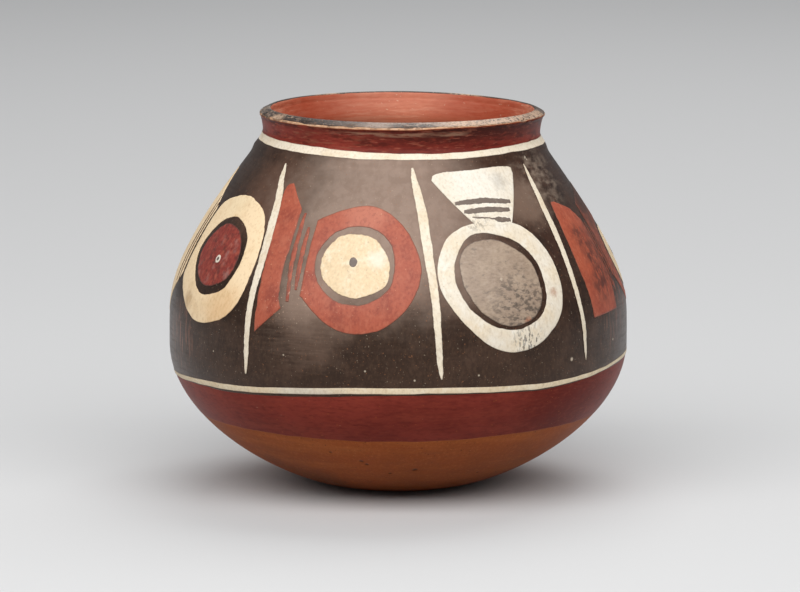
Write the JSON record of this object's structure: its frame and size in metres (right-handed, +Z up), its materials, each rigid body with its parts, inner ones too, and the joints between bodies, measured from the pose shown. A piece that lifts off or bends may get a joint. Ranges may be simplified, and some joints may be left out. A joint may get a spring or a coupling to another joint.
{
  "type": "pottery bowl",
  "caption": "Rounded hand-built pottery bowl with a low flared collar and a wide open mouth, painted with ringed discs and tails in upright panels between two pale lines.",
  "frame": {"origin": "centre of the small flat that the bowl stands on, level with the surface under it", "axes": "+Z up through the mouth, -Y towards the panel with the large red ring that faces the viewer, +X to the viewer's right"},
  "size_m": [0.157, 0.1566, 0.1289],
  "materials": {
    "clay": "burnished bare clay",
    "maroon_slip": "burnished slip",
    "dark_slip": "burnished slip",
    "inner_slip": "matte wash",
    "lip_coat": "worn matte slip",
    "cream_paint": "burnished slip paint",
    "tan_paint": "burnished slip paint",
    "white_paint": "burnished slip paint",
    "red_paint": "burnished slip paint",
    "deep_red_paint": "burnished slip paint",
    "grey_paint": "burnished slip paint"
  },
  "bodies": {
    "root": {"base_dish": "clay", "wall_coil_1": "clay", "wall_coil_2": "clay", "wall_coil_3": "clay", "wall_coil_4": "clay", "neck_collar": "clay", "lip_coil": "clay", "lower_red_slip": "maroon_slip", "dark_ground_slip": "dark_slip", "collar_red_slip": "maroon_slip", "lip_dark_coat": "lip_coat", "inner_rim_slip": "inner_slip", "equator_line": "cream_paint", "neck_line": "cream_paint", "left_ring": "tan_paint", "left_disc": "deep_red_paint", "left_tail": "tan_paint", "left_divider": "cream_paint", "left_dot": "white_paint", "front_ring": "red_paint", "front_disc": "cream_paint", "front_tail": "red_paint", "front_divider": "cream_paint", "front_dot": "dark_slip", "front_stroke_1": "red_paint", "front_stroke_2": "red_paint", "right_ring": "white_paint", "right_disc": "grey_paint", "right_tail": "white_paint", "right_divider": "cream_paint", "right_bar_1": "dark_slip", "right_bar_2": "dark_slip", "right_bar_3": "dark_slip", "far_right_ring": "red_paint", "far_right_disc": "cream_paint", "far_right_tail": "red_paint", "far_right_divider": "cream_paint", "far_right_dot": "dark_slip", "far_right_stroke_1": "red_paint", "far_right_stroke_2": "red_paint", "back_right_ring": "white_paint", "back_right_disc": "grey_paint", "back_right_tail": "white_paint", "back_right_divider": "cream_paint", "back_right_bar_1": "dark_slip", "back_right_bar_2": "dark_slip", "back_right_bar_3": "dark_slip", "back_ring": "tan_paint", "back_disc": "deep_red_paint", "back_tail": "tan_paint", "back_divider": "cream_paint", "back_dot": "white_paint", "back_left_ring": "red_paint", "back_left_disc": "cream_paint", "back_left_tail": "red_paint", "back_left_divider": "cream_paint", "back_left_dot": "dark_slip", "back_left_stroke_1": "red_paint", "back_left_stroke_2": "red_paint"}
  },
  "joints": []
}
